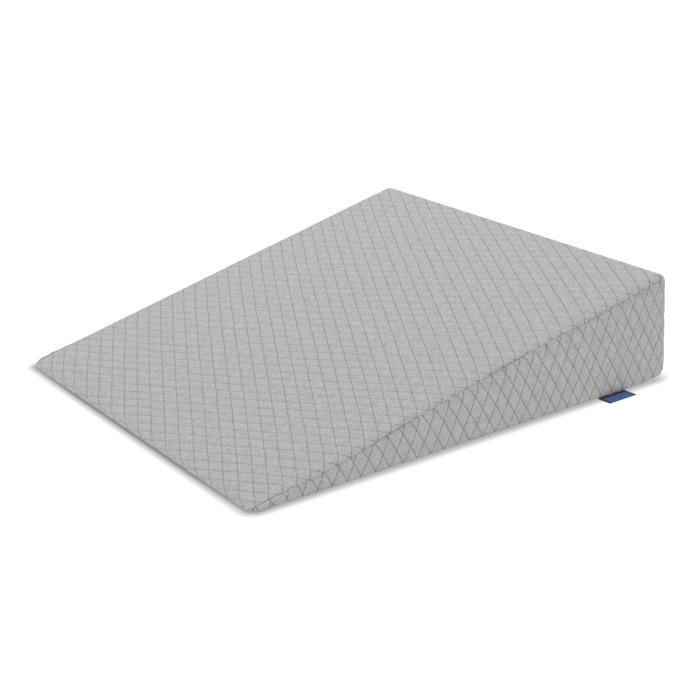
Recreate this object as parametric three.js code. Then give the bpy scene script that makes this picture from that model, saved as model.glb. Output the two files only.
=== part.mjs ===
// A wedge pillow: a foam wedge in a quilted knit cover, with a small woven tab in its bottom seam.
// Millimetres, +Z up. The origin is on the floor under the middle of the footprint. The thin edge faces -Y,
// the tall end faces +Y, and the side panel with the tab faces +X.

import * as THREE from 'three';

// Driving dimensions of the wedge, between the planes of its panels
const wedgeWidth = 600;
const wedgeLength = 611;
const tallHeight = 138.5;
const thinHeight = 4;

// How round its edges are: over the seams, at the tall end, over the thin edge and in plan at its corners
const seamRound = { across: 8, up: 6 };
const tallEndRound = 10;
const thinEdgeRound = 9;
const thinCornerRound = 16;
const cornerReach = 45;

// How far the cloth stands out or draws in
const topCrown = 2.2;
const panelCrown = 1.2;
const crownSquareness = 4;
const quiltRelief = 1;
const seamDepth = 0.8;
const rollWidth = 3.5;
const rollClearance = 3;
const narrowRollShare = 1 / 3;

// The quilting: diamonds twice as long as they are wide
const topDiamondsAcross = 16;
const topDiamondsAlong = 33;
const panelDiamond = { wide: 19.2, tall: 38 };
const sidePhase = 14.2;
const backPhase = 6.4;

// The woven tab, lying on the floor beside the bottom seam
const tabLength = 43;
const tabReach = 21;
const tabThickness = 1.1;
const tabMiddle = 213;
const tabRootLift = 0.5;
const tabTuck = 1.8;
const tabBend = 2;
const tabLiesFlatAt = 5.25;
const tabFoldSegments = 5;

// How much shorter an edge along a row of sewing counts, when the surface is divided into triangles
const sewnPreference = 2;

// The flat middle of the base stops short of its rounded edge
const baseRings = [0, rollWidth, 12];
const baseInset = 60;

const halfWidth = wedgeWidth / 2;
const halfLength = wedgeLength / 2;
const slopeLength = Math.hypot(wedgeLength, tallHeight - thinHeight);

const knitMaterial = new THREE.MeshStandardMaterial({ color: '#b9b8b4', roughness: 0.95, metalness: 0 });
const tabMaterial = new THREE.MeshStandardMaterial({ color: '#2f4f8f', roughness: 0.8, metalness: 0 });

// Height of the top panel's plane at a place along the wedge
function topHeight(y) {
  return thinHeight + (tallHeight - thinHeight) * (y + halfLength) / wedgeLength;
}

// Falls smoothly from 1 at a distance of 0 to 0 at the reach
function nearness(distance, reach) {
  const t = THREE.MathUtils.clamp(distance / reach, 0, 1);
  return 1 - t * t * (3 - 2 * t);
}

// How far in from each face the rounding starts: less along the seams, more at the tall end and in plan at
// the thin end's two corners, and never more than half of the height there
function roundingAt(x, y) {
  const tall = nearness(halfLength - y, cornerReach);
  const thin = nearness(y + halfLength, cornerReach);
  const side = nearness(halfWidth - Math.abs(x), cornerReach);
  const across = THREE.MathUtils.lerp(seamRound.across, tallEndRound, tall);
  const along = THREE.MathUtils.lerp(thinEdgeRound, tallEndRound, tall);
  const up = THREE.MathUtils.lerp(seamRound.up, tallEndRound, tall);
  return new THREE.Vector3(
    across + thin * (thinCornerRound - seamRound.across),
    along + thin * side * (thinCornerRound - thinEdgeRound),
    Math.min(up, topHeight(y) / 2),
  );
}

// Moves a point of the sharp wedge onto the same wedge with rounded edges.
// The edge itself, where the seam runs, draws in a little further.
function soften(point) {
  const round = roundingAt(point.x, point.y);
  const intoX = round.x - (halfWidth - Math.abs(point.x));
  const intoY = round.y - (halfLength - Math.abs(point.y));
  const intoTop = round.z - (topHeight(point.y) - point.z);
  const intoBase = round.z - point.z;
  const into = new THREE.Vector3(
    Math.sign(point.x) * Math.max(intoX, 0),
    Math.sign(point.y) * Math.max(intoY, 0),
    Math.max(intoTop, 0) - Math.max(intoBase, 0),
  );
  const core = point.clone().sub(into);
  const direction = into.divide(round).normalize();
  const facesMet = [intoX >= round.x, intoY >= round.y, Math.max(intoTop, intoBase) >= round.z];
  const onSeam = facesMet.filter(Boolean).length > 1;
  const drawIn = onSeam && point.z > 0 ? seamDepth : 0;
  return core.add(direction.clone().multiply(round)).addScaledVector(direction, -drawIn);
}

// Each panel maps its own flat coordinates u, v to the sharp wedge, with v up the panel
const panels = {
  top: {
    size: [wedgeWidth, slopeLength],
    place: (u, v) => {
      const y = -halfLength + v * wedgeLength / slopeLength;
      return new THREE.Vector3(u - halfWidth, y, topHeight(y));
    },
    outward: new THREE.Vector3(0, thinHeight - tallHeight, wedgeLength).normalize(),
    crown: topCrown,
    cell: [wedgeWidth / topDiamondsAcross / 2, slopeLength / topDiamondsAlong / 2],
    phase: 0,
  },
  right: {
    size: [wedgeLength, tallHeight],
    place: (u, v) => new THREE.Vector3(halfWidth, u - halfLength, v),
    outward: new THREE.Vector3(1, 0, 0),
    crown: panelCrown,
    cell: [panelDiamond.wide / 2, panelDiamond.tall / 2],
    phase: sidePhase,
  },
  left: {
    size: [wedgeLength, tallHeight],
    place: (u, v) => new THREE.Vector3(-halfWidth, u - halfLength, v),
    outward: new THREE.Vector3(-1, 0, 0),
    crown: panelCrown,
    cell: [panelDiamond.wide / 2, panelDiamond.tall / 2],
    phase: sidePhase,
  },
  back: {
    size: [wedgeWidth, tallHeight],
    place: (u, v) => new THREE.Vector3(u - halfWidth, halfLength, v),
    outward: new THREE.Vector3(0, 1, 0),
    crown: panelCrown,
    cell: [panelDiamond.wide / 2, panelDiamond.tall / 2],
    phase: backPhase,
  },
};

// Height of a panel above a place along its foot: the side panels taper with the slope
function panelHeight(panel, u) {
  const isSide = panel === panels.right || panel === panels.left;
  return isSide ? topHeight(u - halfLength) : panel.size[1];
}

// Lattice lines of the quilting across one direction of a panel, with the edge and the roll beside it
function latticeLines(size, cell, phase) {
  const margin = rollWidth + rollClearance;
  const roll = Math.min(rollWidth, size * narrowRollShare);
  const first = Math.ceil((margin - phase) / cell);
  const lines = [0, roll];
  for (let k = first; phase + k * cell < size - margin; k += 1) {
    lines.push(phase + k * cell);
  }
  return [...lines, size - roll, size];
}

// How far the cloth stands out: the crown, and a puff in each diamond whose sewn crossings stay low
function standOut(panel, u, v) {
  const height = panelHeight(panel, u);
  const along = Math.min(u, panel.size[0] - u);
  const edge = Math.min(along, v, height - v);
  const crownAcross = 1 - Math.abs(2 * u / panel.size[0] - 1) ** crownSquareness;
  const crownUp = 1 - Math.abs(2 * v / height - 1) ** crownSquareness;
  const column = (u - panel.phase) / panel.cell[0];
  const row = v / panel.cell[1];
  const puff = 0.5 - 0.5 * Math.cos(Math.PI * column) * Math.cos(Math.PI * row);
  const relief = quiltRelief * puff * (1 - nearness(edge, 2 * rollWidth));
  return panel.crown * crownAcross * crownUp + relief;
}

// A closed surface put together from points and triangles. It keeps each point's place on the sharp wedge
// too, and points at the same sharp place are one point.
class Skin {
  constructor() {
    this.indexOf = new Map();
    this.sharp = [];
    this.points = [];
    this.sewn = [];
    this.triangles = [];
  }

  addPlace(sharp, outward, isSewn) {
    const key = sharp.toArray().map((value) => value.toFixed(3)).join(' ');
    if (!this.indexOf.has(key)) {
      this.indexOf.set(key, this.points.length);
      this.sharp.push(sharp);
      this.points.push(soften(sharp).add(outward));
      this.sewn.push(isSewn);
    }
    return this.indexOf.get(key);
  }

  // A point of a quilted panel
  addPoint(panel, u, v) {
    const column = Math.round((u - panel.phase) / panel.cell[0]);
    const row = Math.round(v / panel.cell[1]);
    const outward = panel.outward.clone().multiplyScalar(standOut(panel, u, v));
    return this.addPlace(panel.place(u, v), outward, (column + row) % 2 === 0);
  }

  // A point of the base or of the thin edge, which carry no quilting of their own
  addPlainPoint(x, y, z) {
    return this.addPlace(new THREE.Vector3(x, y, z), new THREE.Vector3(), false);
  }

  // A new edge costs its length, and a little less where it runs along a row of sewing
  edgeCost(a, b) {
    const isSewn = this.sewn[a] && this.sewn[b];
    return this.sharp[a].distanceTo(this.sharp[b]) - (isSewn ? sewnPreference : 0);
  }

  addTriangle(a, b, c, outward) {
    const [pa, pb, pc] = [this.sharp[a], this.sharp[b], this.sharp[c]];
    const normal = pb.clone().sub(pa).cross(pc.clone().sub(pa));
    this.triangles.push(normal.dot(outward) > 0 ? [a, b, c] : [a, c, b]);
  }

  // Fills the band between two rows of points that run the same way, whatever their counts
  joinRows(first, second, outward) {
    let i = 0;
    let j = 0;
    while (i < first.length - 1 || j < second.length - 1) {
      const stepFirst = i < first.length - 1 ? this.edgeCost(first[i + 1], second[j]) : Infinity;
      const stepSecond = j < second.length - 1 ? this.edgeCost(first[i], second[j + 1]) : Infinity;
      if (stepFirst <= stepSecond) {
        this.addTriangle(first[i], second[j], first[i + 1], outward);
        i += 1;
      } else {
        this.addTriangle(first[i], second[j], second[j + 1], outward);
        j += 1;
      }
    }
  }

  joinAll(rows, outward) {
    for (let k = 1; k < rows.length; k += 1) {
      this.joinRows(rows[k - 1], rows[k], outward);
    }
  }

  geometry() {
    const geometry = new THREE.BufferGeometry();
    const positions = this.points.flatMap((point) => point.toArray());
    geometry.setAttribute('position', new THREE.Float32BufferAttribute(positions, 3));
    geometry.setIndex(this.triangles.flat());
    geometry.computeVertexNormals();
    return geometry;
  }
}

// The rows of an upright panel, one up each lattice line, from its foot to just under its top seam
function uprightColumns(skin, panel) {
  const columns = latticeLines(panel.size[0], panel.cell[0], panel.phase);
  return columns.map((u) => {
    const rows = latticeLines(panelHeight(panel, u), panel.cell[1], 0);
    return rows.slice(0, -1).map((v) => skin.addPoint(panel, u, v));
  });
}

function buildCushion() {
  const skin = new Skin();

  // Top panel: a grid of columns from the thin edge to the tall end
  const top = panels.top;
  const across = latticeLines(top.size[0], top.cell[0], 0);
  const along = latticeLines(top.size[1], top.cell[1], 0);
  const topColumns = across.map((u) => along.map((v) => skin.addPoint(top, u, v)));
  skin.joinAll(topColumns, top.outward);

  // Thin edge: the top panel rolls over it and down to the base
  const noseRows = latticeLines(thinHeight, panels.right.cell[1], 0).map((z) => (
    across.map((u) => skin.addPlainPoint(u - halfWidth, -halfLength, z))
  ));
  skin.joinAll(noseRows, new THREE.Vector3(0, -1, 0));

  // Side panels: their columns, and a band up to the top panel's seam
  for (const [panel, seam] of [[panels.right, topColumns.at(-1)], [panels.left, topColumns[0]]]) {
    const columns = uprightColumns(skin, panel);
    skin.joinAll(columns, panel.outward);
    skin.joinRows(columns.map((column) => column.at(-1)), seam, panel.outward);
  }

  // Back panel, and the band up to its seam
  const backColumns = uprightColumns(skin, panels.back);
  skin.joinAll(backColumns, panels.back.outward);
  const backSeam = topColumns.map((column) => column.at(-1));
  skin.joinRows(backColumns.map((column) => column.at(-1)), backSeam, panels.back.outward);

  addBase(skin, across);
  return skin.geometry();
}

// The base: rings that follow its outline inwards, and a flat middle
function addBase(skin, across) {
  const down = new THREE.Vector3(0, 0, -1);
  const sideLines = latticeLines(wedgeLength, panels.right.cell[0], sidePhase);
  const backLines = latticeLines(wedgeWidth, panels.back.cell[0], backPhase);

  // The back's inner stops have a middle one, so that no edge of the flat middle runs through the origin
  const sides = [
    [across, wedgeWidth, [0, 1], (t, inset) => [t - halfWidth, inset - halfLength]],
    [sideLines, wedgeLength, [0, 1], (t, inset) => [halfWidth - inset, t - halfLength]],
    [backLines, wedgeWidth, [0, 0.5, 1], (t, inset) => [t - halfWidth, halfLength - inset]],
    [sideLines, wedgeLength, [0, 1], (t, inset) => [inset - halfWidth, t - halfLength]],
  ];
  const middles = sides.map(([lines, size, stops, place]) => {
    const rings = baseRings.map((inset) => {
      const within = lines.map((t) => THREE.MathUtils.clamp(t, inset, size - inset));
      const row = within.map((t) => skin.addPlainPoint(...place(t, inset), 0));
      return row.filter((point, k) => point !== row[k - 1]);
    });
    const middle = stops.map((stop) => {
      const t = THREE.MathUtils.lerp(baseInset, size - baseInset, stop);
      return skin.addPlainPoint(...place(t, baseInset), 0);
    });
    skin.joinAll([...rings, middle], down);
    return middle;
  });
  const front = middles[0];
  const back = middles[2];
  skin.addTriangle(front[0], front[1], back[1], down);
  skin.addTriangle(front[0], back[0], back[1], down);
  skin.addTriangle(front[1], back[1], back[2], down);
}

// The tab: a folded strip of ribbon that leaves the seam a little above the floor and then lies on it
function buildTab() {
  const rootX = halfWidth - tabTuck;
  const layFlatX = rootX + tabLiesFlatAt;
  const foldX = rootX + tabReach - tabThickness / 2;
  const outline = new THREE.Shape();
  const rootTop = tabThickness + tabRootLift;
  outline.moveTo(rootX, tabRootLift);
  outline.bezierCurveTo(rootX + tabBend, tabRootLift, layFlatX - tabBend, 0, layFlatX, 0);
  outline.lineTo(foldX, 0);
  outline.absarc(foldX, tabThickness / 2, tabThickness / 2, -Math.PI / 2, Math.PI / 2, false);
  outline.lineTo(layFlatX, tabThickness);
  outline.bezierCurveTo(layFlatX - tabBend, tabThickness, rootX + tabBend, rootTop, rootX, rootTop);
  outline.closePath();
  const geometry = new THREE.ExtrudeGeometry(outline, {
    depth: tabLength,
    bevelEnabled: false,
    curveSegments: tabFoldSegments,
  });
  // The outline is drawn in X and Z, and the extrusion runs along Y
  geometry.rotateX(Math.PI / 2);
  geometry.translate(0, tabMiddle + tabLength / 2, 0);
  return geometry;
}

const cushion = new THREE.Mesh(buildCushion(), knitMaterial);
cushion.name = 'wedge-cushion';

const tab = new THREE.Mesh(buildTab(), tabMaterial);
tab.name = 'woven-tab';

const wedgePillow = new THREE.Group();
wedgePillow.add(cushion, tab);

export default wedgePillow;
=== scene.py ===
# The looks of the wedge pillow: a quilted knit cover over its foam wedge, and the woven tab in its seam.
# Sizes are in millimetres until a mesh is made; Blender's own units are metres.
import math

import bpy
import numpy as np
from mathutils import Matrix, Vector


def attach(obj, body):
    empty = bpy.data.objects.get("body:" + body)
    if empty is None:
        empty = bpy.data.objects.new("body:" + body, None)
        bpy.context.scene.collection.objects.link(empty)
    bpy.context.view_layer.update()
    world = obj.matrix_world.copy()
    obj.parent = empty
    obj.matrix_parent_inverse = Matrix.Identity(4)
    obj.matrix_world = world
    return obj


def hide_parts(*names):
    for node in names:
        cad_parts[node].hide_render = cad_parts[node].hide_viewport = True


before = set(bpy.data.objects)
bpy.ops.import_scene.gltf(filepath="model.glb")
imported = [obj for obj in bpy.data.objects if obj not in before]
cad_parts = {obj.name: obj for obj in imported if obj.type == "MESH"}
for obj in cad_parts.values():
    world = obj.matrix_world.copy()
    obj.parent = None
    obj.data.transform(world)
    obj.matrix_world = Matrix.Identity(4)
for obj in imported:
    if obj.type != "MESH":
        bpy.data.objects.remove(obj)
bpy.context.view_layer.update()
print("frame loaded:", sorted(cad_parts))

millimetre = 0.001


def addPiece(name, data):
    # an object for a mesh, a camera or a light
    piece = bpy.data.objects.new(name, data)
    bpy.context.scene.collection.objects.link(piece)
    return piece


# The camera, solved from the straight edges of the pillow in the photograph

cameraView = {
    "azimuth": 57.46,
    "elevation": 20.47,
    "roll": -3.26,
    "distance": 2.18387,
    "aim": (-0.05236, 0.05757, 0),
    "sensor": 36,
    "focalLength": 1601.02,  # in pixels of the photograph
    "frameWidth": 700,
}


def makeCamera(view):
    azimuth, elevation, roll = (math.radians(view[k]) for k in ("azimuth", "elevation", "roll"))
    back = Vector((
        math.sin(azimuth) * math.cos(elevation),
        -math.cos(azimuth) * math.cos(elevation),
        math.sin(elevation),
    ))
    level = (-back).cross(Vector((0, 0, 1))).normalized()
    upright = level.cross(-back)
    right = level * math.cos(roll) + upright * math.sin(roll)
    up = upright * math.cos(roll) - level * math.sin(roll)
    cameraData = bpy.data.cameras.new("photo-view")
    cameraData.sensor_width = view["sensor"]
    cameraData.lens = view["focalLength"] * view["sensor"] / view["frameWidth"]
    camera = addPiece("photo-view", cameraData)
    turn = np.eye(4)
    turn[:3, 0], turn[:3, 1], turn[:3, 2] = right, up, back
    turn[:3, 3] = back * view["distance"] + Vector(view["aim"])
    camera.matrix_world = Matrix(turn.tolist())
    bpy.context.scene.camera = camera


makeCamera(cameraView)
print("camera placed")


# Node helpers

def linearColour(hexColour):
    # sRGB hex to the linear colour that a shader takes
    parts = [int(hexColour[k:k + 2], 16) / 255 for k in (1, 3, 5)]
    return tuple(p / 12.92 if p <= 0.04045 else ((p + 0.055) / 1.055) ** 2.4 for p in parts) + (1,)


def addNode(tree, kind, inputs=None, **settings):
    # one node with its settings; an input is a value, or the node or socket that feeds it
    node = tree.nodes.new("ShaderNode" + kind)
    for name, value in settings.items():
        setattr(node, name, value)
    for name, value in (inputs or {}).items():
        if isinstance(value, (bpy.types.Node, bpy.types.NodeSocket)):
            socket = value.outputs[0] if isinstance(value, bpy.types.Node) else value
            tree.links.new(socket, node.inputs[name])
        else:
            node.inputs[name].default_value = value
    return node


def perMetre(size):
    # how often a pattern of this size in millimetres repeats in a metre
    return 1 / (size * millimetre)


def startMaterial(name):
    material = bpy.data.materials.new(name)
    material.use_nodes = True
    material.node_tree.nodes.clear()
    return material, material.node_tree


# The quilted cover: one closed mesh of four quilted panels and a plain base

wedge = {
    "width": 600.0,
    "length": 611.0,
    "tallHeight": 138.5,
    "thinHeight": 4.0,
    "seamRound": (14.0, 4.0),  # where the rounding over a side seam starts, across and down
    "baseRound": (8.0, 6.0),  # and where the one at the base starts, across and up
    "tallEndRound": 10.0,
    "tallFootRound": 15.0,  # the tall end's corners are rounder at their foot
    "tallFootHeight": 19.0,
    "thinEdgeRound": 11.0,
    "thinNoseShare": 0.7,  # how much of the thin edge's height belongs to the rounding over the top
    "thinCornerRound": (22.0, 16.0),  # at the left and at the right
    "cornerReach": 45.0,  # how far from a corner its own rounding begins
    "crownSquareness": 9,  # how flat the crown is before it falls off at the edges
}

quilting = {
    "topHalfDiamonds": (32, 66),  # across the top panel and up it
    "softness": 1.9,  # how far from a sewn line a puff takes to rise
    "waver": 0.5,  # how far a sewn line strays from its even course
    "waverUneven": ((70, 11), (55, 12)),  # across and up: the wave's length, and the seed
    "dimples": 0.2,  # small uneven hollows in the puffs
    "dimplesUneven": (17, 4),
    "edgeRelief": 0.3,  # what is left of the puffs at a seam
    "edgeReach": 5.0,
    "rimFlattening": 0.6,  # the puffs are lower still along the thin edge and the left and back seams
    "rimCalm": 22.0,
}

# Along a seam the sewing draws the cloth in and gathers it into small folds that run away from the seam
sewing = {
    "depth": 0.8,
    "reach": 2.2,
    "steepness": 1.3,
    "gathers": 0.35,
    "gatherWave": 7.3,
    "gatherStray": 1.6,
    "gathersUneven": (60, 7),
    "gatherStart": 2.0,
    "gatherReach": 6.0,
    "lineReach": 0.9,  # how far from the seam its dark line reaches: the thread and the painted shade of the seam's crease
    "plainShows": 0.6,  # how dark a seam shows where seamPlaces doesn't say
    "crossingShows": 0.8,  # and where a quilted line meets it
    "crossingReach": 1.5,
}

# The mesh follows the pattern, so that the sewn lines run along its edges
meshing = {
    "steps": 5,  # in half a diamond
    "settling": 25.0,  # how far from a panel's edge the mesh has moved onto the pattern
    "evenCorner": 30.0,  # how far from its corners an upright panel's rows are even
    "topRim": (0.8, 2.0),  # closer steps beside the edges
    "uprightRim": (0.8,),
    "rimGap": 1,  # the least room between these and the pattern's own steps
    "topMargin": 2.6,
    "uprightMargin": (4.0, 0.5),  # the rows stop this far under the seam, or at this share of a low panel
    "rowsUnderSeam": (0.5, 0.2, 0.0),  # and these follow, in shares of that margin
    "baseRings": (0.0, 3.5, 12.0, 60.0),
    "triesAcross": 2001,  # places tried to find where the pattern's steps are
    "triesUp": 1501,
    "triesBeyond": 20,
    "sliver": 1e-4,  # triangles smaller than this are dropped
}

# Where each panel's cloth starts in the flat layout that its knit is drawn on, in metres
flatStart = {"top": 0, "right": 3, "left": 6, "back": 9, "base": 15}

# The seam over each side panel doesn't keep to the wedge's edge: places along it, how far above the edge it
# runs there, and how dark it shows: its thread with the painted shade of its crease, darkest in the fold at
# the thin end
seamPlaces = (
    # along, above, shows
    (0, 0, 1.5),
    (8, 3, 1.5),
    (25, 2, 1.3),
    (50, -0.5, 0.3),
    (70, -2, 0.3),
    (100, -3, 0.3),
    (150, -3.5, 0.3),
    (180, -2, 0.8),
    (220, -1.5, 0.8),
    (230, -1.5, 0.4),
    (318, -1.2, 0.4),
    (325, -1, 0.85),
    (385, -1, 0.85),
    (395, -1.2, 0.4),
    (440, -1.5, 0.42),
    (470, -3.3, 0.4),
    (500, -3.8, 0.4),
    (530, -4.3, 0.4),
    (560, -4.6, 0.38),
    (598, -4.4, 0.4),
    (611, 0, 0.4),
)
sideSeam = dict(zip(("along", "above", "shows"), zip(*seamPlaces)))

halfWidth = wedge["width"] / 2
halfLength = wedge["length"] / 2
slopeLength = math.hypot(wedge["length"], wedge["tallHeight"] - wedge["thinHeight"])
slopeShare = wedge["length"] / slopeLength

# Each panel: half a diamond across and up it, where the pattern starts, how far it drifts in half diamonds,
# how far the foam crowns and the cloth stands up between the lines, and how firmly each edge is sewn. The
# drift is a smooth surface over the panel, from -1 to 1 each way. Its ten numbers go with 1, y, y2, y3, x,
# xy, xy2, x2, x2y and x3.
uprightPanel = {"cell": (9.6, 19.0), "crown": 1.2, "relief": 1.1}
sidePanel = {
    **uprightPanel,
    "size": (wedge["length"], wedge["tallHeight"]),
    "phase": 14.2,
    "drift": {
        "column": (-0.851, -1.176, -0.987, 0.025, 0.047, 1.761, 1.199, -1.491, -0.485, -0.264),
        "row": (-0.109, -0.07, 0.359, 0.113, -0.295, -0.799, -0.347, 0.667, 0.335, -0.156),
    },
}
panels = {
    "top": {
        "size": (wedge["width"], slopeLength),
        "cell": (
            wedge["width"] / quilting["topHalfDiamonds"][0],
            slopeLength / quilting["topHalfDiamonds"][1],
        ),
        "phase": 0.0,
        "drift": {
            "column": (0.349, -0.356, -0.272, 0.373, -0.667, -0.179, 0.194, -0.648, 0.027, 0.005),
            "row": (-1.103, -0.68, -0.376, -0.417, -0.169, -0.137, 0.054, 0.646, 0.491, -0.301),
        },
        "crown": 2.2,
        "relief": 0.65,
        "sewn": {"start": 0.6, "end": 1, "foot": 0, "head": 0.4},
    },
    "right": {**sidePanel, "sewn": {"start": 0, "end": 0, "foot": 0, "head": 1}},
    "left": {**sidePanel, "sewn": {"start": 0, "end": 0.5, "foot": 0, "head": 1}},
    "back": {
        **uprightPanel,
        "size": (wedge["width"], wedge["tallHeight"]),
        "phase": 6.4,
        "drift": {
            "column": (-0.4, 0.3, 0.1, 0, 0.2, 0.2, 0, -0.3, 0, 0),
            "row": (0.1, -0.1, 0, 0, 0.2, -0.1, 0, 0.2, 0, 0),
        },
        "sewn": {"start": 0.5, "end": 0, "foot": 0, "head": 0.4},
    },
}


def topHeight(y):
    rise = wedge["tallHeight"] - wedge["thinHeight"]
    return wedge["thinHeight"] + rise * (y + halfLength) / wedge["length"]


def seamLift(along):
    return np.interp(along, sideSeam["along"], sideSeam["above"])


def panelPlace(name, u, v):
    # flat places on a panel to places on the sharp wedge. The cloth turns down over the edges: the top
    # panel's over the thin edge, and at a side the cloth of the panel that reaches over the edge there.
    if name == "top":
        y = np.maximum(v, 0) * slopeShare - halfLength
        over = np.maximum(abs(u - halfWidth) - halfWidth, 0)
        x = np.clip(u - halfWidth, -halfWidth, halfWidth)
        return np.stack([x, y, topHeight(y) + np.minimum(v, 0) - over], -1)
    if name == "back":
        return np.stack([u - halfWidth, u * 0 + halfLength, v], -1)
    over = np.maximum(v - topHeight(u - halfLength), 0)
    side = 1 if name == "right" else -1
    return np.stack([side * (halfWidth - over), u - halfLength, v - over], -1)


def panelHeight(name, u):
    # how far up a panel its seam is: the side panels taper with the slope
    if name in ("right", "left"):
        return topHeight(u - halfLength) + seamLift(u)
    return u * 0 + panels[name]["size"][1]


def edgeDistances(name, u, v):
    lift = seamLift(v * slopeShare) if name == "top" else 0
    return {
        "start": u - lift,
        "end": panels[name]["size"][0] - lift - u,
        "foot": np.maximum(v, 0),
        "head": panelHeight(name, u) - v,
    }


def nearness(distance, reach):
    t = np.clip(distance / reach, 0, 1)
    return 1 - t * t * (3 - 2 * t)


def ripple(u, v, wave, seed, parts=5):
    # smooth unevenness from about -1 to 1, the same on each run
    dice = np.random.default_rng(seed)
    total = 0
    for _ in range(parts):
        angle = dice.uniform(0, math.tau)
        phase = dice.uniform(0, math.tau)
        tightness = dice.uniform(0.7, 1.6)
        course = u * math.cos(angle) + v * math.sin(angle)
        total = total + np.sin(course * math.tau * tightness / wave + phase)
    return total / math.sqrt(parts * 2)


def patternAt(name, u, v):
    # which column and row of half diamonds a flat place is in
    panel = panels[name]
    x, y = 2 * u / panel["size"][0] - 1, 2 * v / panel["size"][1] - 1
    terms = (1, y, y ** 2, y ** 3, x, x * y, x * y ** 2, x ** 2, x ** 2 * y, x ** 3)
    driftU, driftV = (sum(a * b for a, b in zip(panel["drift"][k], terms)) for k in ("column", "row"))
    strayU, strayV = (quilting["waver"] * ripple(u, v, wave, seed) for wave, seed in quilting["waverUneven"])
    column = (u - panel["phase"] + strayU) / panel["cell"][0] - driftU
    row = (v + strayV) / panel["cell"][1] - driftV
    return column, row


def softened(sharp):
    # the sharp wedge's points on the wedge with rounded edges, and which way its surface faces there
    x, y, z = sharp.T
    tall = nearness(halfLength - y, wedge["cornerReach"])
    thin = nearness(y + halfLength, wedge["cornerReach"])
    side = nearness(halfWidth - abs(x), wedge["cornerReach"])
    height = topHeight(y)
    # the rounding over the top takes the upper half of the height, and more of it at the thin edge
    turn = height * (0.5 + thin * (0.5 - wedge["thinNoseShare"]))
    isUpper = z > turn
    tallRound = wedge["tallEndRound"]
    tallRound = tallRound + (wedge["tallFootRound"] - tallRound) * nearness(z, wedge["tallFootHeight"])
    thinRound = np.where(x < 0, *wedge["thinCornerRound"])
    across, up = (np.where(isUpper, seam, base) for seam, base in zip(wedge["seamRound"], wedge["baseRound"]))
    across = across + tall * (tallRound - across) + thin * (thinRound - across)
    along = wedge["thinEdgeRound"] + tall * (tallRound - wedge["thinEdgeRound"])
    along = along + thin * side * (thinRound - wedge["thinEdgeRound"])
    up = np.minimum(up + tall * (tallRound - up), np.where(isUpper, height - turn, turn))
    rounding = np.stack([across, along, up], 1)
    into = np.stack([
        np.sign(x) * np.maximum(across - halfWidth + abs(x), 0),
        np.sign(y) * np.maximum(along - halfLength + abs(y), 0),
        np.where(isUpper, np.maximum(up - height + z, 0), -np.maximum(up - z, 0)),
    ], 1)
    direction = into / rounding
    direction = direction / np.linalg.norm(direction, axis=1)[:, None]
    outward = direction / rounding
    outward = outward / np.linalg.norm(outward, axis=1)[:, None]
    return sharp - into + direction * rounding, outward


def sewnCloth(name, u, v):
    # how far the cloth stands off the foam, how dark a seam shows with its thread and painted crease shade,
    # and where in the pattern the place is
    panel = panels[name]
    edges = edgeDistances(name, u, v)
    height = panelHeight(name, u)
    nearest = np.minimum.reduce([edges[k] for k in edges if (name, k) != ("top", "foot")])
    relief = quilting["edgeRelief"]
    inside = relief + (1 - relief) * (1 - nearness(nearest, quilting["edgeReach"]))
    farEdges = {"top": ("foot", "head", "start"), "back": ("head",)}.get(name)
    if farEdges:
        rim = np.minimum.reduce([edges[k] for k in farEdges])
        inside = inside * (1 - quilting["rimFlattening"] * nearness(rim, quilting["rimCalm"]))

    column, row = patternAt(name, u, v)
    halfSpacing = panel["cell"][0] * panel["cell"][1] / math.hypot(*panel["cell"])
    rising = abs((column - row + 1) % 2 - 1) * halfSpacing  # millimetres from the nearest line of each family
    falling = abs((column + row + 1) % 2 - 1) * halfSpacing
    puff = (1 - np.exp(-rising / quilting["softness"])) * (1 - np.exp(-falling / quilting["softness"]))
    squareness = wedge["crownSquareness"]
    crown = 1 - np.clip(abs(2 * u / panel["size"][0] - 1), 0, 1) ** squareness
    crown = crown * (1 - np.clip(abs(2 * v / height - 1), 0, 1) ** squareness)
    dimples = quilting["dimples"] * ripple(u, v, *quilting["dimplesUneven"]) * puff
    out = panel["crown"] * crown + (panel["relief"] * puff + dimples) * inside

    seam = 0
    crossing = np.exp(-np.minimum(rising, falling) / sewing["crossingReach"])
    for edge, firmness in panel["sewn"].items():
        distance = edges[edge]
        along = u if edge in ("foot", "head") else v
        pull = firmness * np.exp(-(distance / sewing["reach"]) ** sewing["steepness"])
        stray = sewing["gatherStray"] * ripple(u, v, *sewing["gathersUneven"])
        fold = np.sin(along * math.tau / sewing["gatherWave"] + stray)
        fading = np.exp(-distance / sewing["gatherReach"]) * (1 - nearness(distance, sewing["gatherStart"]))
        out = out - sewing["depth"] * pull + firmness * sewing["gathers"] * fold * fading
        isSide = name in ("right", "left") or (name == "top" and edge != "head")
        place = u if name in ("right", "left") else v * slopeShare
        shows = np.interp(place, sideSeam["along"], sideSeam["shows"]) if isSide else sewing["plainShows"]
        shows = np.maximum(shows, sewing["crossingShows"] * crossing)
        seam = np.maximum(seam, firmness * shows * np.exp(-(distance / sewing["lineReach"]) ** 2))
    return out, seam, np.stack([column, row], -1)


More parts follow.
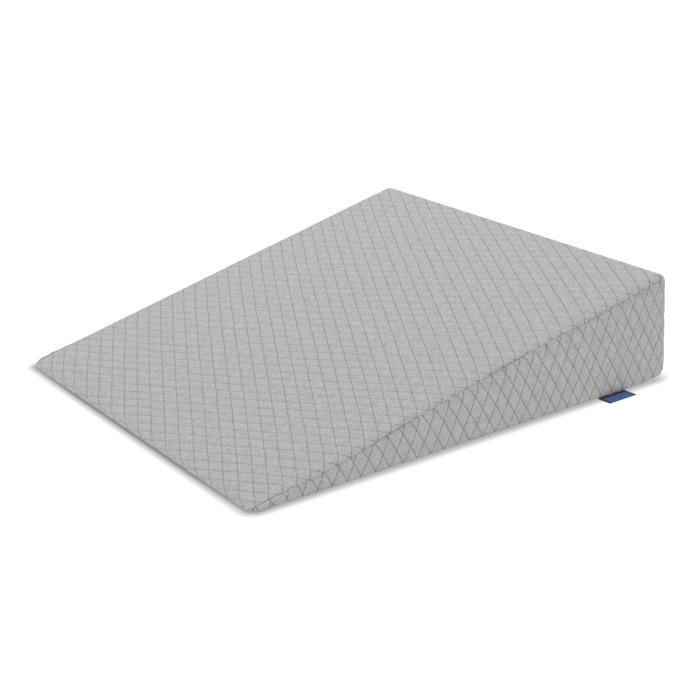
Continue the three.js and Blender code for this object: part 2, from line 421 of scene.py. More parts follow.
class Cloth:
    # triangles with what each of their corners knows; points at one sharp place are sewn into one at the end
    def __init__(self):
        self.corners = {k: [] for k in ("sharp", "out", "seam", "flat", "quilt")}
        self.isPlain = []

    def addPanel(self, name, u, v, triangles):
        out, seam, quilt = sewnCloth(name, u, v)
        flat = np.stack([u, v], -1) * millimetre + (flatStart[name], 0)
        self.addTriangles(triangles, panelPlace(name, u, v), out, seam, flat, quilt, False)

    def addPlain(self, sharp, triangles):
        zero = np.zeros(len(sharp))
        flat = sharp[:, :2] * millimetre + (flatStart["base"], 0)
        self.addTriangles(triangles, sharp, zero, zero, flat, flat, True)

    def addTriangles(self, triangles, sharp, out, seam, flat, quilt, isPlain):
        # thin slivers go, and every triangle is turned to face out of the wedge's middle
        a, b, c = (sharp[triangles[:, k]] for k in range(3))
        normal = np.cross(b - a, c - a)
        keep = np.linalg.norm(normal, axis=1) > meshing["sliver"]
        inward = (normal * ((a + b + c) / 3 - self.middle(a, b, c))).sum(axis=1) < 0
        triangles = np.where(inward[:, None], triangles[:, ::-1], triangles)[keep]
        for key, values in zip(self.corners, (sharp, out, seam, flat, quilt)):
            self.corners[key].append(values[triangles])
        self.isPlain.append(np.full(len(triangles), isPlain))

    def middle(self, a, b, c):
        # a point inside the wedge, about level with each triangle
        y = (a[:, 1] + b[:, 1] + c[:, 1]) / 3 * 0.9
        return np.stack([a[:, 0] * 0, y, topHeight(y) / 2], -1)

    def makeMesh(self, name):
        corners = {k: np.concatenate(v) for k, v in self.corners.items()}
        count = len(corners["sharp"])
        sharp = corners["sharp"].reshape(-1, 3)
        _, first, shared = np.unique(np.round(sharp, 3), axis=0, return_index=True, return_inverse=True)
        shared = shared.ravel()
        times = np.bincount(shared)
        out, seam = (np.bincount(shared, corners[k].ravel()) / times for k in ("out", "seam"))
        points, outward = softened(sharp[first])
        points = (points + outward * out[:, None]) * millimetre
        points[:, 2] = np.maximum(points[:, 2], 0)

        mesh = bpy.data.meshes.new(name)
        mesh.from_pydata(points.tolist(), [], shared.reshape(-1, 3).tolist())
        for layer in ("flat", "quilt"):
            mesh.uv_layers.new(name=layer).data.foreach_set("uv", corners[layer].ravel())
        mesh.attributes.new("seam", "FLOAT", "POINT").data.foreach_set("value", seam)
        mesh.polygons.foreach_set("material_index", np.concatenate(self.isPlain).astype(int))
        mesh.polygons.foreach_set("use_smooth", np.ones(count, bool))
        mesh.update()
        return mesh


def splitQuads(name, u, v):
    # a grid's cells as triangles, each cut along the sewn line that crosses its half diamond
    index = np.arange(u.size).reshape(u.shape)
    a, b, c, d = index[:-1, :-1], index[1:, :-1], index[1:, 1:], index[:-1, 1:]
    column, row = patternAt(name, (u[:-1, :-1] + u[1:, 1:]) / 2, (v[:-1, :-1] + v[1:, 1:]) / 2)
    isRising = (np.floor(column) + np.floor(row)) % 2 == 0
    first = np.where(isRising[..., None], np.stack([a, b, c], -1), np.stack([a, b, d], -1))
    second = np.where(isRising[..., None], np.stack([a, c, d], -1), np.stack([b, c, d], -1))
    return np.concatenate([first.reshape(-1, 3), second.reshape(-1, 3)])


def zipRows(lower, upper):
    # fills the band between two rows of points that run the same way, from their places along it
    triangles, i, j = [], 0, 0
    while i < len(lower) - 1 or j < len(upper) - 1:
        nextLower = lower[i + 1] if i < len(lower) - 1 else math.inf
        nextUpper = upper[j + 1] if j < len(upper) - 1 else math.inf
        if nextLower <= nextUpper:
            triangles.append((i, i + 1, len(lower) + j))
            i += 1
        else:
            triangles.append((i, len(lower) + j + 1, len(lower) + j))
            j += 1
    return np.array(triangles)


def patternColumns(name, rim):
    # places across a panel: the pattern's steps halfway up it, and closer ones beside its edges
    size = panels[name]["size"][0]
    u = np.linspace(0, size, meshing["triesAcross"])
    columns = patternAt(name, u, panelHeight(name, u) / 2)[0] * meshing["steps"]
    inner = np.interp(np.arange(math.ceil(columns[0]), columns[-1]), columns, u)
    gap = meshing["rimGap"]
    inner = inner[(inner > rim[-1] + gap) & (inner < size - rim[-1] - gap)]
    return np.concatenate([[0], rim, inner, size - np.array(rim)[::-1], [size]])


def patternRows(name, columns):
    # places up a panel along each column: the pattern's steps, from the foot to the seam
    panel = panels[name]
    beyond = meshing["triesBeyond"]
    v = np.linspace(-beyond, panel["size"][1] + beyond, meshing["triesUp"])
    tried = np.array([patternAt(name, np.full(v.shape, u), v)[1] for u in columns]) * meshing["steps"]
    first = math.floor(tried[:, v >= 0][:, 0].min())
    count = math.ceil((tried[:, -1] - tried[:, 0]).max())
    whole = first + np.arange(count)
    return np.array([np.interp(whole, rows, v) for rows in tried])


def uprightRows(name, columns):
    # rows up a side or back panel. At its two corners they are even, to meet the next panel's.
    panel = panels[name]
    step = panel["cell"][1] / meshing["steps"]
    drifting = patternRows(name, columns)
    middle = drifting.shape[1] // 2
    even = step * (np.round(drifting[:, middle].mean() / step) + np.arange(drifting.shape[1]) - middle)
    corner = nearness(np.minimum(columns, panel["size"][0] - columns), meshing["evenCorner"])[:, None]
    rows = drifting + corner * (even - drifting)
    height = panelHeight(name, columns)[:, None]
    most, share = meshing["uprightMargin"]
    margin = np.minimum(most, height * share)
    rows = np.minimum(np.maximum(rows, step / 2), height - margin)
    under = [height - margin * k for k in meshing["rowsUnderSeam"]]
    return np.concatenate([height * 0, rows, *under], 1)


def ontoPattern(name, u, v):
    # shifts mesh points sideways onto whole steps of the pattern, and less so near the panel's edges
    steps = meshing["steps"]
    whole = np.round(patternAt(name, u, panelHeight(name, u) / 2)[0] * steps) / steps
    shift = (whole - patternAt(name, u, v)[0]) * panels[name]["cell"][0]
    nearest = np.minimum.reduce(list(edgeDistances(name, u, v).values()))
    return u + shift * (1 - nearness(nearest, meshing["settling"]))


def addTop(cloth):
    # the top panel, with the rows that roll over the thin edge. It gives back the places along its edges.
    rim = np.array((0, *meshing["topRim"]))
    margin = meshing["topMargin"]
    lines = patternColumns("top", meshing["topRim"])
    rows = np.clip(patternRows("top", lines), margin, slopeLength - margin)
    nose = np.unique(uprightRows("right", np.array([0.0]))) - wedge["thinHeight"]
    each = np.ones((len(lines), 1))
    v = np.concatenate([each * nose[:-1], each * rim, rows, slopeLength - each * rim[::-1]], 1)
    lift = seamLift(v * slopeShare)
    u = ontoPattern("top", np.repeat(lines[:, None], v.shape[1], 1), v)
    u = np.clip(u, lift + margin, wedge["width"] - lift - margin)
    u[:len(rim)] = rim[:, None] + lift[:len(rim)]
    u[-len(rim):] = wedge["width"] - rim[::-1, None] - lift[-len(rim):]
    cloth.addPanel("top", u.ravel(), v.ravel(), splitQuads("top", u, v))
    left, right = (np.unique(v[k][v[k] >= 0]) * slopeShare for k in (0, -1))
    return {"front": np.unique(u[:, 0]), "right": right, "left": left, "back": np.unique(u[:, -1])}


def addUpright(cloth, name, seamLine):
    # a side or back panel, and the band that joins it to the top panel's edge. It gives back its columns.
    columns = patternColumns(name, meshing["uprightRim"])
    v = uprightRows(name, columns)[:, :-1]
    u = ontoPattern(name, np.repeat(columns[:, None], v.shape[1], 1), v)
    cloth.addPanel(name, u.ravel(), v.ravel(), splitQuads(name, u, v))
    bandU = np.concatenate([u[:, -1], seamLine])
    bandV = np.concatenate([v[:, -1], panelHeight(name, seamLine)])
    cloth.addPanel(name, bandU, bandV, zipRows(u[:, -1], seamLine))
    return columns


def addBase(cloth, front, feet):
    # rings that follow the base's outline inwards, then a flat middle
    sides = (
        (front, wedge["width"], lambda t, inset: (t - halfWidth, t * 0 + inset - halfLength)),
        (feet["right"], wedge["length"], lambda t, inset: (t * 0 + halfWidth - inset, t - halfLength)),
        (feet["back"], wedge["width"], lambda t, inset: (t - halfWidth, t * 0 + halfLength - inset)),
        (feet["left"], wedge["length"], lambda t, inset: (t * 0 + inset - halfWidth, t - halfLength)),
    )
    last = meshing["baseRings"][-1]
    for lines, size, place in sides:
        rings = [(np.unique(np.clip(lines, k, size - k)), k) for k in meshing["baseRings"][:-1]]
        rings.append((np.array([last, size - last]), last))
        for (outerLine, outerInset), (innerLine, innerInset) in zip(rings, rings[1:]):
            outerX, outerY = place(outerLine, outerInset)
            innerX, innerY = place(innerLine, innerInset)
            x, y = np.concatenate([outerX, innerX]), np.concatenate([outerY, innerY])
            cloth.addPlain(np.stack([x, y, x * 0], -1), zipRows(outerLine, innerLine))
    x, y = halfWidth - last, halfLength - last
    corners = np.array([(-x, -y, 0), (x, -y, 0), (x, y, 0), (-x, y, 0)], float)
    cloth.addPlain(corners, np.array([(0, 1, 2), (0, 2, 3)]))


def makeCover():
    cloth = Cloth()
    edges = addTop(cloth)
    feet = {name: addUpright(cloth, name, edges[name]) for name in ("right", "left", "back")}
    addBase(cloth, edges["front"], feet)
    return addPiece("quilted-cover", cloth.makeMesh("quilted-cover"))


# Quilted knit: polyester melange jersey, knitted in light and dark grey yarn, and quilted with a darker
# thread. To the eye it is matt and softly mottled, with fine dark lines that sink into it. The lines are
# painted in the thread's colour, which also stands for the shade in their grooves.

knit = {
    # sizes in millimetres
    "lightYarn": "#bcbbb9",
    "darkYarn": "#9c9b99",
    "mottle": {"streaks": 0.5, "patches": 0.2, "grain": 0.3},  # how much each counts in the mix of the yarns
    "mottleRange": (0.38, 0.62),
    "streakSize": (5.882, 1.786),  # the two yarns run along the courses, so they show as short streaks
    "patchSize": 10.526,
    "grainSize": 1.613,
    "loopWidth": 1.8,  # a real loop is about 0.9 wide, too fine to show, so it is drawn twice as coarse
    "loopHeight": 1.5,
    "loopRelief": 0.3,
    "waleShare": 0.5,
    "puckerSize": 4.762,  # small uneven puckers
    "puckerHeight": 2.6,
    "bumpStrength": 0.6,
    "bumpHeight": 0.25,
    "roughness": 0.92,
    "ior": 1.5,
    "fuzz": 0.15,
    "fuzzRoughness": 0.5,
}

threadAndGrooveShade = {
    # colour and width of the dark lines: the thread with the painted shade of its groove
    "colour": "#3f3e3c",
    "width": 1.0,
    "blur": (0.75, 0.25),  # in widths from a line's middle: where it begins to show, and where it is full
    "strength": 0.7,
    "depth": 0.8,
    "stitchLength": 3.0,
    "holeReach": 0.2,  # in stitches, how far a needle hole weakens the line, and what is left of it there
    "holeShows": 0.55,
    "shake": 0.09,  # in half diamonds, how far the machine leads a line astray
    "shakesPerStep": 2.7,  # and how often in a half diamond
    "topFalling": (0.68, 0.9),  # how firm its two families of lines are at the thin edge and the tall end: painted shade, as each family's grooves lie differently to the light and the view
    "topRising": (0.7, 0.4),
    "firmBeside": (19.0, 7.0),  # how far from the side seams all lines start to be firm, and are firmest
    "firmest": 0.9,
    # how dark the seam's line is painted: its thread and the shade of its crease
    "seamThreadAndShade": 0.62,
}


def knitSurface(tree):
    # the knit alone: its colour, and the height of its loops and puckers
    flat = addNode(tree, "UVMap", uv_map="flat")
    place = addNode(tree, "SeparateXYZ", {0: flat})
    perWidth, perHeight = perMetre(knit["loopWidth"]), perMetre(knit["loopHeight"])
    widths = addNode(tree, "Math", {0: place.outputs[0], 1: perWidth}, operation="MULTIPLY")
    heights = addNode(tree, "Math", {0: place.outputs[1], 1: perHeight}, operation="MULTIPLY")
    leg = addNode(tree, "Math", {0: widths, 1: 0.5}, operation="PINGPONG")
    slant = addNode(tree, "Math", {0: heights, 1: leg}, operation="ADD")
    courseTurn = addNode(tree, "Math", {0: slant, 1: math.tau}, operation="MULTIPLY")
    waleTurn = addNode(tree, "Math", {0: leg, 1: math.tau}, operation="MULTIPLY")
    courses = addNode(tree, "Math", {0: courseTurn}, operation="SINE")
    wales = addNode(tree, "Math", {0: waleTurn}, operation="SINE")
    loops = addNode(tree, "Math", {0: courses, 1: knit["waleShare"], 2: wales}, operation="MULTIPLY_ADD")
    loops = addNode(tree, "Math", {0: loops, 1: knit["loopRelief"]}, operation="MULTIPLY")
    perPucker = perMetre(knit["puckerSize"])
    puckers = addNode(tree, "TexNoise", {"Vector": flat, "Scale": perPucker, "Detail": 2})
    height = addNode(tree, "Math", {0: puckers, 1: knit["puckerHeight"], 2: loops}, operation="MULTIPLY_ADD")

    # streaks of yarn, broken up by patches and grain
    perStreak = (*(perMetre(size) for size in knit["streakSize"]), 1)
    yarn = addNode(tree, "Mapping", {"Vector": flat, "Scale": perStreak})
    streaks = addNode(tree, "TexNoise", {"Vector": yarn, "Scale": 1, "Detail": 3, "Roughness": 0.65})
    patches = addNode(tree, "TexNoise", {"Vector": flat, "Scale": perMetre(knit["patchSize"]), "Detail": 2})
    grain = addNode(tree, "TexNoise", {"Vector": flat, "Scale": perMetre(knit["grainSize"]), "Detail": 1})
    mottle = knit["mottle"]
    share = addNode(tree, "Math", {0: streaks, 1: mottle["streaks"]}, operation="MULTIPLY")
    share = addNode(tree, "Math", {0: patches, 1: mottle["patches"], 2: share}, operation="MULTIPLY_ADD")
    share = addNode(tree, "Math", {0: grain, 1: mottle["grain"], 2: share}, operation="MULTIPLY_ADD")
    darkest, lightest = knit["mottleRange"]
    lightness = addNode(tree, "MapRange", {"Value": share, "From Min": darkest, "From Max": lightest})
    yarns = {0: lightness, 6: linearColour(knit["darkYarn"]), 7: linearColour(knit["lightYarn"])}
    colour = addNode(tree, "Mix", yarns, data_type="RGBA").outputs[2]
    return colour, height


def sewnLine(tree, acrossLine, alongLine):
    # one family of lines, thread and painted groove shade: 1 on the line, weaker at the needle holes, 0 away
    # from it
    cell = panels["top"]["cell"]
    halfSpacing = cell[0] * cell[1] / math.hypot(*cell)
    fromLine = addNode(tree, "Math", {0: acrossLine, 1: 1.0}, operation="PINGPONG")
    distance = addNode(tree, "Math", {0: fromLine, 1: halfSpacing}, operation="MULTIPLY")
    begins, isFull = (threadAndGrooveShade["width"] * k for k in threadAndGrooveShade["blur"])
    blur = {"Value": distance, "From Min": begins, "From Max": isFull}
    line = addNode(tree, "MapRange", blur, interpolation_type="SMOOTHSTEP")
    stitchesPerStep = math.hypot(*cell) / 2 / threadAndGrooveShade["stitchLength"]
    stitches = addNode(tree, "Math", {0: alongLine, 1: stitchesPerStep}, operation="MULTIPLY")
    fromHole = addNode(tree, "Math", {0: stitches, 1: 0.5}, operation="PINGPONG")
    hole = {"Value": fromHole, "From Max": threadAndGrooveShade["holeReach"], "To Min": threadAndGrooveShade["holeShows"]}
    stitch = addNode(tree, "MapRange", hole)
    return addNode(tree, "Math", {0: line, 1: stitch}, operation="MULTIPLY")


def quiltLines(tree):
    # both families of sewn lines, a little unsteady as a sewing machine leaves them
    quilt = addNode(tree, "UVMap", uv_map="quilt")
    noise = addNode(tree, "TexNoise", {"Vector": quilt, "Scale": threadAndGrooveShade["shakesPerStep"], "Detail": 2})
    shake = addNode(tree, "SeparateXYZ", {0: noise.outputs["Color"]})
    place = addNode(tree, "SeparateXYZ", {0: quilt})
    by = threadAndGrooveShade["shake"]
    column, row = (
        addNode(tree, "Math", {0: shake.outputs[k], 1: by, 2: place.outputs[k]}, operation="MULTIPLY_ADD")
        for k in (0, 1)
    )
    total = addNode(tree, "Math", {0: column, 1: row}, operation="ADD")
    difference = addNode(tree, "Math", {0: column, 1: row}, operation="SUBTRACT")
    # the noise is around a half, so it also shifts the sum of both by a fixed amount, which is taken off here
    total = addNode(tree, "Math", {0: total, 1: by}, operation="SUBTRACT")
    falling, rising = sewnLine(tree, total, difference), sewnLine(tree, difference, total)

    # the top panel comes first in the flat layout; every other panel's places are far beyond its edge
    flat = addNode(tree, "SeparateXYZ", {0: addNode(tree, "UVMap", uv_map="flat")})
    fromMiddle = addNode(tree, "Math", {0: flat.outputs[0], 1: halfWidth * millimetre}, operation="SUBTRACT")
    fromMiddle = addNode(tree, "Math", {0: fromMiddle}, operation="ABSOLUTE")
    besideSeam = addNode(tree, "MapRange", {
        "Value": fromMiddle,
        "From Min": (halfWidth - threadAndGrooveShade["firmBeside"][0]) * millimetre,
        "From Max": (halfWidth - threadAndGrooveShade["firmBeside"][1]) * millimetre,
        "To Max": threadAndGrooveShade["firmest"],
    })
    # each family's strength on the top is painted groove shade, set by how its grooves lie to the light
    families = []
    for line, (atThinEdge, atTallEnd) in ((falling, threadAndGrooveShade["topFalling"]), (rising, threadAndGrooveShade["topRising"])):
        firmness = addNode(tree, "MapRange", {
            "Value": flat.outputs[1],
            "From Max": slopeLength * millimetre,
            "To Min": atThinEdge,
            "To Max": atTallEnd,
        })
        firmness = addNode(tree, "Math", {0: firmness, 1: besideSeam}, operation="MAXIMUM")
        families.append(addNode(tree, "Math", {0: line, 1: firmness}, operation="MULTIPLY"))
    falling, rising = families
    return addNode(tree, "Math", {0: falling, 1: rising}, operation="MAXIMUM")


def makeKnit(name, isQuilted):
    material, tree = startMaterial(name)
    colour, height = knitSurface(tree)
    if isQuilted:
        lines = quiltLines(tree)
        # the seam's dark line: the thread and the painted shade of the crease along it
        seam = addNode(tree, "Attribute", attribute_name="seam").outputs["Fac"]
        dark = linearColour(threadAndGrooveShade["colour"])
        # the lines are painted in the thread's colour, which also stands for the shade in their grooves
        lineShare = addNode(tree, "Math", {0: lines, 1: threadAndGrooveShade["strength"]}, operation="MULTIPLY")
        seamShare = addNode(tree, "Math", {0: seam, 1: threadAndGrooveShade["seamThreadAndShade"]}, operation="MULTIPLY")
        colour = addNode(tree, "Mix", {0: lineShare, 6: colour, 7: dark}, data_type="RGBA").outputs[2]
        colour = addNode(tree, "Mix", {0: seamShare, 6: colour, 7: dark}, data_type="RGBA").outputs[2]
        height = addNode(tree, "Math", {0: lines, 1: -threadAndGrooveShade["depth"], 2: height}, operation="MULTIPLY_ADD")
    bump = addNode(tree, "Bump", {
        "Height": height,
        "Strength": knit["bumpStrength"],
        "Distance": knit["bumpHeight"] * millimetre,
    })
    shader = addNode(tree, "BsdfPrincipled", {
        "Base Color": colour,
        "Roughness": knit["roughness"],
        "IOR": knit["ior"],
        "Sheen Weight": knit["fuzz"],
        "Sheen Roughness": knit["fuzzRoughness"],
        "Normal": bump,
    })
    addNode(tree, "OutputMaterial", {"Surface": shader})
    return material


cover = makeCover()
cover.data.materials.append(makeKnit("quilted-melange-knit", True))
cover.data.materials.append(makeKnit("plain-melange-knit", False))
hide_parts("wedge-cushion")
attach(cover, "root")
print("cover made:", len(cover.data.polygons), "triangles")


# The tab: a folded ribbon whose root is in the bottom seam. Its outer half lies on the floor.

tab = {
    "length": 43.0,
    "reach": 20.6,
    "middle": 213.5,
    "root": 298.2,
    "rootLift": 0.55,  # how far up its root is, and over which share of its reach it comes down
    "rootShare": 0.3,
    "ribbon": 0.42,  # thickness of one layer
    "gap": 0.12,
    "skew": 1.6,  # its outer end lies a little towards the tall end
    "stepsAlong": 44,
    "stepsAcross": 22,
    "stepsRound": 9,
}


def ribbonPath():
    # a path through the middle of the ribbon: out along the lower layer, round the fold, back along the
    # upper. With it come which way the ribbon faces at each place and the ribbon's length up to there.
    rise = tab["ribbon"] / 2
    apart = tab["ribbon"] + tab["gap"]
    flatReach = tab["reach"] - apart / 2 - rise
    out = np.linspace(0, 1, tab["stepsAcross"])
    lift = tab["rootLift"] * nearness(out, tab["rootShare"])
    lower = np.stack([out * flatReach, rise + lift], -1)
    upper = np.stack([out * flatReach, rise + apart + lift], -1)[::-1]
    bend = np.linspace(-math.pi / 2, math.pi / 2, tab["stepsRound"])[1:-1]
    fold = np.stack([flatReach + np.cos(bend) * apart / 2, rise + apart / 2 + np.sin(bend) * apart / 2], -1)
    path = np.concatenate([lower, fold, upper])
    way = np.gradient(path, axis=0)
    way = way / np.linalg.norm(way, axis=1)[:, None]
    side = np.stack([way[:, 1], -way[:, 0]], -1)
    travelled = np.concatenate([[0], np.cumsum(np.linalg.norm(np.diff(path, axis=0), axis=1))])
    return path, side, travelled


def makeTab():
    rise = tab["ribbon"] / 2
    path, side, travelled = ribbonPath()
    along = np.linspace(-tab["length"] / 2, tab["length"] / 2, tab["stepsAlong"])
    points, flats = [], []
    for face in (1, -1):
        for (x, z), (sideX, sideZ), far in zip(path, side, travelled):
            for y in along:
                px = x + face * sideX * rise
                pz = z + face * sideZ * rise
                drift = tab["skew"] * px / tab["reach"]
                points.append((tab["root"] + px, tab["middle"] + y + drift, max(pz, 0)))
                flats.append(((y + tab["length"] / 2) * millimetre, far * millimetre))

    count, width = len(path), len(along)
    layer = count * width
    faces = []
    for i in range(count - 1):
        for j in range(width - 1):
            a = i * width + j
            faces.append((a, a + 1, a + width + 1, a + width))
            faces.append((layer + a, layer + a + width, layer + a + width + 1, layer + a + 1))
    grid = np.arange(layer).reshape(count, width)
    rim = np.concatenate([grid[0], grid[1:, -1], grid[-1, -2::-1], grid[-2:0:-1, 0]]).tolist()
    for first, second in zip(rim, rim[1:] + rim[:1]):
        faces.append((second, first, layer + first, layer + second))

    mesh = bpy.data.meshes.new("bare-tab")
    mesh.from_pydata((np.array(points) * millimetre).tolist(), [], faces)
    layerData = mesh.uv_layers.new(name="flat").data
    layerData.foreach_set("uv", np.array(flats)[[k for face in faces for k in face]].ravel())
    mesh.polygons.foreach_set("use_smooth", np.ones(len(faces), bool))
    mesh.validate()
    mesh.update()
    return addPiece("bare-tab", mesh), travelled[-1]


# Damask ribbon: polyester yarn, woven dense and flat, with a darker woven border.
# To the eye it is a saturated blue with a faint silky shine across its ribs.

ribbonWeave = {
    "ground": "#3d63ab",
    "border": "#162852",
    "endBorder": 4.0,  # millimetres: dark weave at each end and beside the fold, and a dark band beside the root
    "foldBorder": 0.7,
    "darkNearRoot": 5.5,
    "ribPitch": 0.9,  # real ribs are about 0.3 mm apart, too fine to show: drawn three times as coarse
    "pickPitch": 0.6,
    "unevenSize": 1.111,
    "unevenness": 0.5,
    "darkest": 0.75,
    "bumpStrength": 0.6,
    "bumpHeight": 0.12,  # millimetres
    "roughness": 0.5,
    "ior": 1.53,
    "sheen": 0.1,
}


def makeRibbonWeave(foldPlace):
    material, tree = startMaterial("woven-damask-ribbon")
    flat = addNode(tree, "UVMap", uv_map="flat")
    place = addNode(tree, "SeparateXYZ", {0: flat})
    half = tab["length"] / 2
    across = addNode(tree, "Math", {0: place.outputs[0], 1: half * millimetre}, operation="SUBTRACT")
    fromMiddle = addNode(tree, "Math", {0: across}, operation="ABSOLUTE")
    endStart = (half - ribbonWeave["endBorder"]) * millimetre
    ends = {"Value": fromMiddle, "From Min": endStart, "From Max": endStart + millimetre}
    atEnd = addNode(tree, "MapRange", ends)
    along = addNode(tree, "Math", {0: place.outputs[1], 1: foldPlace * millimetre}, operation="SUBTRACT")
    fromFold = addNode(tree, "Math", {0: along}, operation="ABSOLUTE")
    foldBorder = ribbonWeave["foldBorder"] * millimetre
    atFold = addNode(tree, "Math", {0: fromFold, 1: foldBorder}, operation="LESS_THAN")
    # the ribbon is drawn dark beside its root, where it goes into the seam
    rootStart = (foldPlace - ribbonWeave["darkNearRoot"]) * millimetre
    atRoot = addNode(tree, "Math", {0: fromFold, 1: rootStart}, operation="GREATER_THAN")
    edge = addNode(tree, "Math", {0: atEnd, 1: atFold}, operation="MAXIMUM")
    edge = addNode(tree, "Math", {0: edge, 1: atRoot}, operation="MAXIMUM")

    perRib, perPick = (math.tau * perMetre(ribbonWeave[k]) for k in ("ribPitch", "pickPitch"))
    ribTurn = addNode(tree, "Math", {0: place.outputs[1], 1: perRib}, operation="MULTIPLY")
    pickTurn = addNode(tree, "Math", {0: place.outputs[0], 1: perPick}, operation="MULTIPLY")
    ribs = addNode(tree, "Math", {0: ribTurn}, operation="SINE")
    picks = addNode(tree, "Math", {0: pickTurn}, operation="SINE")
    weave = addNode(tree, "Math", {0: ribs, 1: picks}, operation="MULTIPLY")
    unevenScale = perMetre(ribbonWeave["unevenSize"])
    uneven = addNode(tree, "TexNoise", {"Vector": flat, "Scale": unevenScale, "Detail": 2})
    brightness = {0: uneven, 1: ribbonWeave["unevenness"], 2: ribbonWeave["darkest"]}
    lightness = addNode(tree, "Math", brightness, operation="MULTIPLY_ADD")
    yarns = {0: edge, 6: linearColour(ribbonWeave["ground"]), 7: linearColour(ribbonWeave["border"])}
    colour = addNode(tree, "Mix", yarns, data_type="RGBA").outputs[2]
    shade = addNode(tree, "Mix", {0: 1.0, 6: colour, 7: lightness}, data_type="RGBA", blend_type="MULTIPLY")
    bump = addNode(tree, "Bump", {
        "Height": weave,
        "Strength": ribbonWeave["bumpStrength"],
        "Distance": ribbonWeave["bumpHeight"] * millimetre,
    })
    shader = addNode(tree, "BsdfPrincipled", {
        "Base Color": shade.outputs[2],
        "Roughness": ribbonWeave["roughness"],
        "IOR": ribbonWeave["ior"],
        "Sheen Weight": ribbonWeave["sheen"],
        "Normal": bump,
    })
    addNode(tree, "OutputMaterial", {"Surface": shader})
    return material


bareTab, ribbonLength = makeTab()
bareTab.data.materials.append(makeRibbonWeave(ribbonLength / 2))
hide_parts("woven-tab")
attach(bareTab, "root")
print("tab made:", len(bareTab.data.polygons), "faces, ribbon", round(ribbonLength, 1), "mm long")


# The plain white floor with a painted shadow round the pillow's foot, and soft studio light from high up, a
# little behind and to the left

studio = {
    "floorSize": 60.0,  # metres
    "floorDrop": 0.2,  # millimetres under the pillow
    "floorColour": "#fafafa",
    "floorMatt": "#707070",  # a lit sweep: most of its light comes from under it, and little is reflected
    "floorRoughness": 0.9,
    "floorSpecular": 0.1,
    "floorGlow": 0.94,
    "paintedShadowReach": 13.0,  # millimetres over which the painted shadow darkens the floor towards the pillow's foot
    "paintedFootShadow": 0.46,
    "paintedThinEdgeShadow": (0.2, 0.36),  # the painted shadow's depth in the middle of the thin edge and at its corners
    "paintedLeftShadow": 0.62,  # the painted shadow is lighter at the left side and at the tall end, which the light comes from
    "leftReach": 30.0,
    "paintedTallShadow": 0.66,
    "tallReach": 60.0,
    "skyColour": "#ffffff",
    "skyStrength": 0.88,
    "softboxPower": 15.5,  # watts
    "softboxSize": 1.8,  # metres
    "softboxDistance": 2.3,
    "softboxHeight": 68,  # degrees above the floor
    "softboxAzimuth": 245,
}


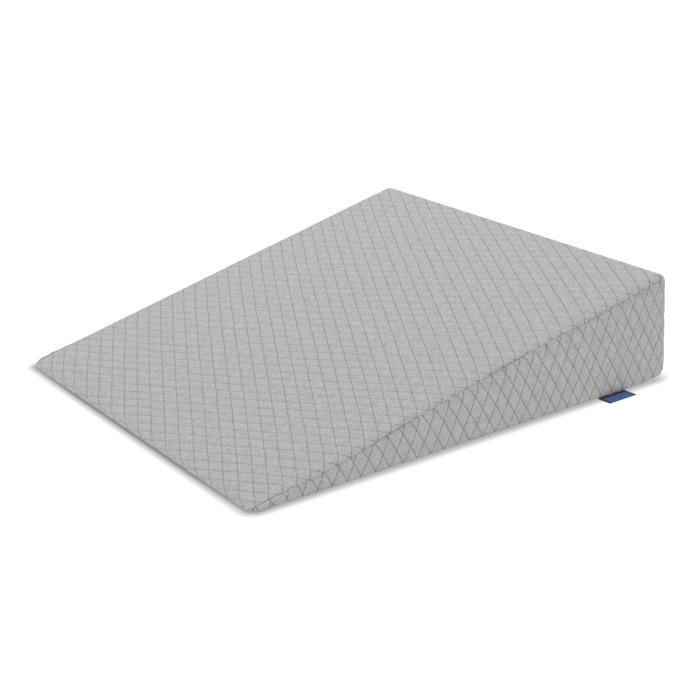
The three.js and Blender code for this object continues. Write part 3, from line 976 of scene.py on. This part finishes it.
def makeFloor():
    half = studio["floorSize"] / 2
    drop = studio["floorDrop"] * millimetre
    corners = [(x * half, y * half, -drop) for x, y in ((-1, -1), (1, -1), (1, 1), (-1, 1))]
    mesh = bpy.data.meshes.new("floor")
    mesh.from_pydata(corners, [], [(0, 1, 2, 3)])
    floor = addPiece("floor", mesh)
    material, tree = startMaterial("white-sweep")

    # a painted shadow round the foot: the floor's glow darkens with nearness to the pillow's outline
    spot = addNode(tree, "TexCoord").outputs["Object"]
    place = addNode(tree, "VectorMath", {0: spot}, operation="ABSOLUTE")
    corner = wedge["thinCornerRound"][1]
    outline = ((halfWidth - corner) * millimetre, (halfLength - corner) * millimetre, 0)
    beyond = addNode(tree, "VectorMath", {0: place, 1: outline}, operation="SUBTRACT")
    beyond = addNode(tree, "VectorMath", {0: beyond, 1: (0, 0, 0)}, operation="MAXIMUM")
    distance = addNode(tree, "VectorMath", {0: beyond}, operation="LENGTH").outputs["Value"]
    signed, plain = addNode(tree, "SeparateXYZ", {0: spot}), addNode(tree, "SeparateXYZ", {0: place})
    thinEdge = addNode(tree, "MapRange", {
        "Value": plain.outputs[0],
        "From Min": halfWidth / 2 * millimetre,
        "From Max": halfWidth * millimetre,
        "To Min": studio["paintedThinEdgeShadow"][0],
        "To Max": studio["paintedThinEdgeShadow"][1],
    })
    paintedShadowDepth = addNode(tree, "MapRange", {
        "Value": signed.outputs[1],
        "From Min": -halfLength * millimetre,
        "From Max": (corner - halfLength) * millimetre,
        "To Min": thinEdge,
        "To Max": studio["paintedFootShadow"],
    })
    left = addNode(tree, "MapRange", {
        "Value": signed.outputs[0],
        "From Min": -halfWidth * millimetre,
        "From Max": (studio["leftReach"] - halfWidth) * millimetre,
        "To Min": studio["paintedLeftShadow"],
        "To Max": 0.0,
    })
    tallEnd = addNode(tree, "MapRange", {
        "Value": signed.outputs[1],
        "From Min": (halfLength - studio["tallReach"]) * millimetre,
        "From Max": halfLength * millimetre,
        "To Max": studio["paintedTallShadow"],
    })
    paintedShadowDepth = addNode(tree, "Math", {0: paintedShadowDepth, 1: left}, operation="MAXIMUM")
    paintedShadowDepth = addNode(tree, "Math", {0: paintedShadowDepth, 1: tallEnd}, operation="MAXIMUM")
    shade = addNode(tree, "MapRange", {
        "Value": distance,
        "From Min": corner * millimetre,
        "From Max": (corner + studio["paintedShadowReach"]) * millimetre,
        "To Min": paintedShadowDepth,
    })
    # the painted shadow darkens the floor's glow colour
    white = {0: shade, 6: (0, 0, 0, 1), 7: linearColour(studio["floorColour"])}
    colour = addNode(tree, "Mix", white, data_type="RGBA").outputs[2]
    shader = addNode(tree, "BsdfPrincipled", {
        "Base Color": linearColour(studio["floorMatt"]),
        "Roughness": studio["floorRoughness"],
        "Specular IOR Level": studio["floorSpecular"],
        "Emission Color": colour,
        "Emission Strength": studio["floorGlow"],
    })
    addNode(tree, "OutputMaterial", {"Surface": shader})
    mesh.materials.append(material)
    return floor


def makeSoftbox():
    lightData = bpy.data.lights.new("softbox", "AREA")
    lightData.energy = studio["softboxPower"]
    lightData.size = studio["softboxSize"]
    light = addPiece("softbox", lightData)
    azimuth, height = math.radians(studio["softboxAzimuth"]), math.radians(studio["softboxHeight"])
    towards = Vector((
        math.sin(azimuth) * math.cos(height),
        -math.cos(azimuth) * math.cos(height),
        math.sin(height),
    ))
    light.location = towards * studio["softboxDistance"]
    light.rotation_euler = towards.to_track_quat("Z", "Y").to_euler()


def makeSky():
    world = bpy.data.worlds.new("studio")
    world.use_nodes = True
    world.node_tree.nodes.clear()
    colour = linearColour(studio["skyColour"])
    sky = addNode(world.node_tree, "Background", {"Color": colour, "Strength": studio["skyStrength"]})
    addNode(world.node_tree, "OutputWorld", {"Surface": sky})
    bpy.context.scene.world = world


makeFloor()
makeSky()
makeSoftbox()
bpy.context.scene.view_settings.view_transform = "Standard"
print("floor and light made")
